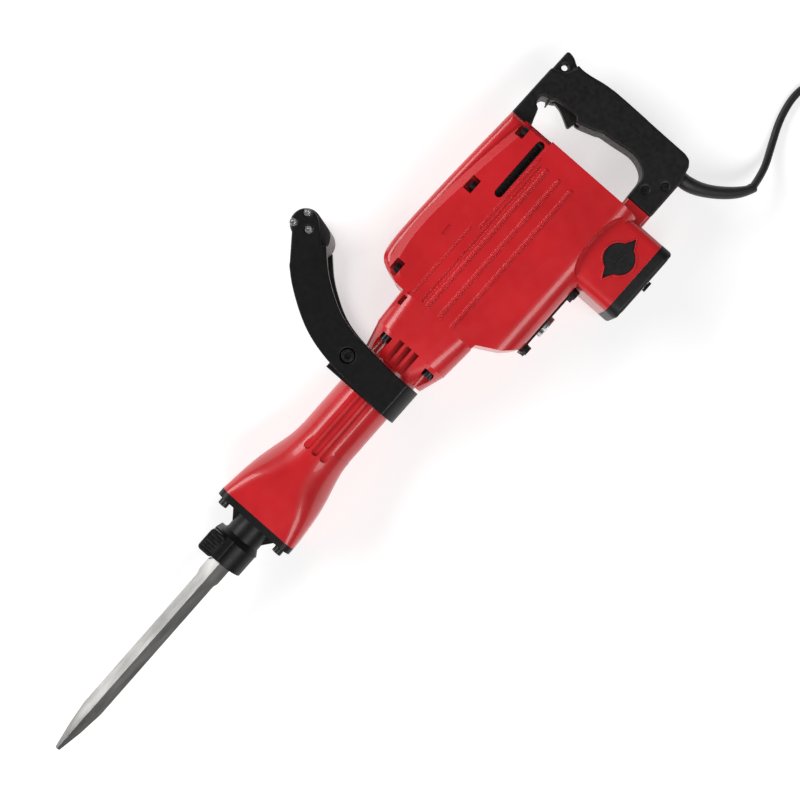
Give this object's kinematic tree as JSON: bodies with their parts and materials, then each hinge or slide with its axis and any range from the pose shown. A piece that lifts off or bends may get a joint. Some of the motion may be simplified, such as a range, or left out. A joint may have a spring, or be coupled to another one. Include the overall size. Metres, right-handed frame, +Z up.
{
  "type": "demolition hammer",
  "caption": "Electric demolition hammer lying on its side, with a hex bull-point chisel, clamped side handle, closed rear grip with trigger, geared motor housing and power cord.",
  "frame": {"origin": "middle of the footprint, on the floor that the hammer lies on", "axes": "+X along the tool axis from the chisel to the rear grip, +Y towards the side handle's grip, +Z up from the floor"},
  "size_m": [1.3507, 0.6451, 0.124],
  "materials": {
    "red_paint": "glossy red enamel",
    "black_casting": "satin black paint on castings",
    "black_plastic": "fine-grained black plastic",
    "black_fasteners": "black oxide",
    "bright_steel": "forged and ground",
    "silver_metal": "turned",
    "core_iron": "laminated",
    "copper_wire": "varnished copper",
    "carbon": "carbon",
    "black_rubber": "black rubber"
  },
  "bodies": {
    "body": {"front_cover": "black_casting", "tool_sleeve": "bright_steel", "front_cover_bolts": "black_fasteners", "cylinder_case": "red_paint", "case_bolts": "black_fasteners", "cylinder": "bright_steel", "impact_damper": "black_rubber", "main_housing": "red_paint", "gear_cover": "red_paint", "gear_cover_bolts": "black_fasteners", "bottom_cover": "black_plastic", "bottom_cover_bolts": "black_fasteners", "oil_gauge": "silver_metal", "tail_cover": "black_plastic", "tail_cover_screws": "black_fasteners", "stator_core": "core_iron", "stator_coils": "copper_wire", "ball_bearings": "bright_steel", "brush_caps": "black_plastic", "brush_holders": "copper_wire", "brush_springs": "bright_steel", "brushes": "carbon", "rear_grip_upper_half": "black_plastic", "rear_grip_lower_half": "black_plastic", "rear_grip_screws": "black_fasteners", "trigger_pin": "bright_steel", "trigger_spring": "bright_steel", "switch": "black_plastic", "cord_guard": "black_rubber", "power_cord": "black_rubber", "cord_coil": "black_rubber", "plug": "black_rubber"},
    "chisel": {"chisel": "bright_steel"},
    "retainer_spring_stack": {"retainer_spring": "bright_steel"},
    "tool_retainer": {"tool_retainer": "black_fasteners"},
    "side_handle": {"side_handle_strap": "black_casting", "side_handle_arm_upper": "black_casting", "side_handle_arm_lower": "black_casting", "side_grip": "black_rubber", "side_grip_screws": "black_fasteners", "clamp_bolt_and_nut": "black_fasteners"},
    "impact_bolt": {"impact_bolt": "bright_steel"},
    "striker": {"striker": "bright_steel", "striker_ring": "black_rubber"},
    "piston": {"piston": "silver_metal", "piston_ring": "black_rubber", "piston_pin": "bright_steel"},
    "connecting_rod": {"connecting_rod": "bright_steel", "crank_pin": "bright_steel"},
    "crankshaft": {"crankshaft": "bright_steel", "crank_gear": "bright_steel"},
    "intermediate_shaft": {"intermediate_shaft": "bright_steel", "intermediate_gear": "bright_steel"},
    "armature": {"armature_shaft": "bright_steel", "armature_core": "core_iron", "armature_windings": "copper_wire", "commutator": "copper_wire", "cooling_fan": "black_plastic"},
    "trigger": {"trigger": "black_plastic"},
    "lock_lever": {"lock_lever": "bright_steel"}
  },
  "joints": [
    {"name": "chisel_slide", "type": "slide", "parent": "body", "child": "chisel", "axis": [1, 0, 0], "range_m": [-0.004, 0.016]},
    {"name": "retainer_pull", "type": "slide", "parent": "body", "child": "retainer_spring_stack", "axis": [0, 0, 1], "range_m": [0, 0.005], "stiffness_N_per_m": 1500, "springref_m": -0.004, "deforming": ["retainer_spring"]},
    {"name": "retainer_turn", "type": "hinge", "parent": "retainer_spring_stack", "child": "tool_retainer", "pos_m": [-0.2075, -0.00175, 0.062], "axis": [0, 0, 1], "range_deg": [0, 180]},
    {"name": "side_handle_turn", "type": "hinge", "parent": "body", "child": "side_handle", "pos_m": [0.0705, -0.01975, 0.062], "axis": [1, 0, 0], "range_deg": [-180, 180]},
    {"name": "trigger_press", "type": "hinge", "parent": "body", "child": "trigger", "pos_m": [0.4885, 0.04225, 0.062], "axis": [0, 0, 1], "range_deg": [0, 10], "stiffness_Nm_per_rad": 0.6, "springref_deg": -8.59},
    {"name": "lock_press", "type": "slide", "parent": "body", "child": "lock_lever", "axis": [1, 0, 0], "range_m": [0, 0.004], "stiffness_N_per_m": 300, "springref_m": -0.004},
    {"name": "armature_spin", "type": "hinge", "parent": "body", "child": "armature", "pos_m": [0.3785, -0.07975, 0.062], "axis": [0, 1, 0], "continuous": true},
    {"name": "intermediate_spin", "type": "hinge", "parent": "body", "child": "intermediate_shaft", "pos_m": [0.3335, 0.03025, 0.062], "axis": [0, 1, 0], "continuous": true},
    {"name": "crank_spin", "type": "hinge", "parent": "body", "child": "crankshaft", "pos_m": [0.2755, 0.03025, 0.062], "axis": [0, 1, 0], "continuous": true},
    {"name": "piston_slide", "type": "slide", "parent": "body", "child": "piston", "axis": [1, 0, 0], "range_m": [0, 0.04]},
    {"name": "rod_swing", "type": "hinge", "parent": "piston", "child": "connecting_rod", "pos_m": [0.1565, -0.01975, 0.062], "axis": [0, 1, 0], "range_deg": [-11.5, 11.5]},
    {"name": "striker_slide", "type": "slide", "parent": "body", "child": "striker", "axis": [1, 0, 0], "range_m": [-0.013, 0.04]},
    {"name": "impact_bolt_slide", "type": "slide", "parent": "body", "child": "impact_bolt", "axis": [1, 0, 0], "range_m": [0, 0.01]}
  ],
  "couplings": [
    {"joint": "intermediate_spin", "follows": "armature_spin", "ratio": -0.25},
    {"joint": "crank_spin", "follows": "armature_spin", "ratio": 0.065217}
  ]
}
